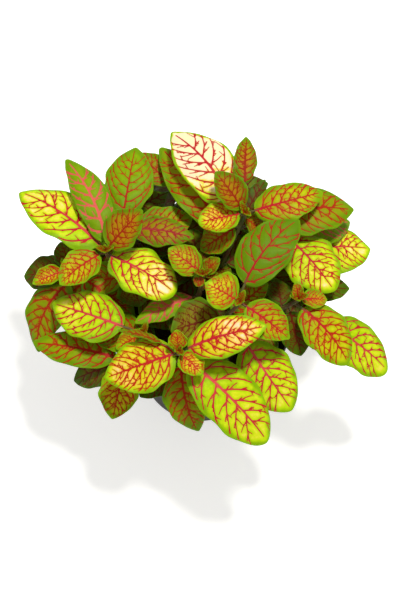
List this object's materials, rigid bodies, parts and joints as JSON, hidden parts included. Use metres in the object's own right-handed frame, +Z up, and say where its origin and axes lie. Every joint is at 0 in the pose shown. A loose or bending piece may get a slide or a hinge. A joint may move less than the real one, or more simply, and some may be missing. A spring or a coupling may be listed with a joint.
{
  "type": "potted nerve plant",
  "caption": "Compact potted foliage plant: leafy shoots of net-veined oval leaves over a plain tapered nursery pot filled with soil.",
  "frame": {"origin": "centre of the pot's flat base, where it stands", "axes": "+Z up along the pot's axis, -Y towards the side from which the plant is usually seen, +X to the right of it"},
  "size_m": [0.1791, 0.15, 0.1305],
  "materials": {
    "pot": "black moulded polypropylene, satin",
    "soil": "dark moist peat mix",
    "leaf": "lime green leaf with a net of crimson veins, soft gloss"
  },
  "bodies": {
    "root": {"pot": "pot", "soil": "soil", "shoot_west": "leaf", "shoot_far_west": "leaf", "shoot_south_west": "leaf", "shoot_low_south_west": "leaf", "shoot_south": "leaf", "shoot_centre": "leaf", "shoot_middle": "leaf", "shoot_north": "leaf", "shoot_north_east": "leaf", "shoot_east": "leaf", "shoot_north_west": "leaf", "shoot_back": "leaf", "shoot_low_west": "leaf", "shoot_low_north_west": "leaf", "shoot_low_north": "leaf", "shoot_low_north_east": "leaf", "shoot_low_east": "leaf"}
  },
  "joints": []
}
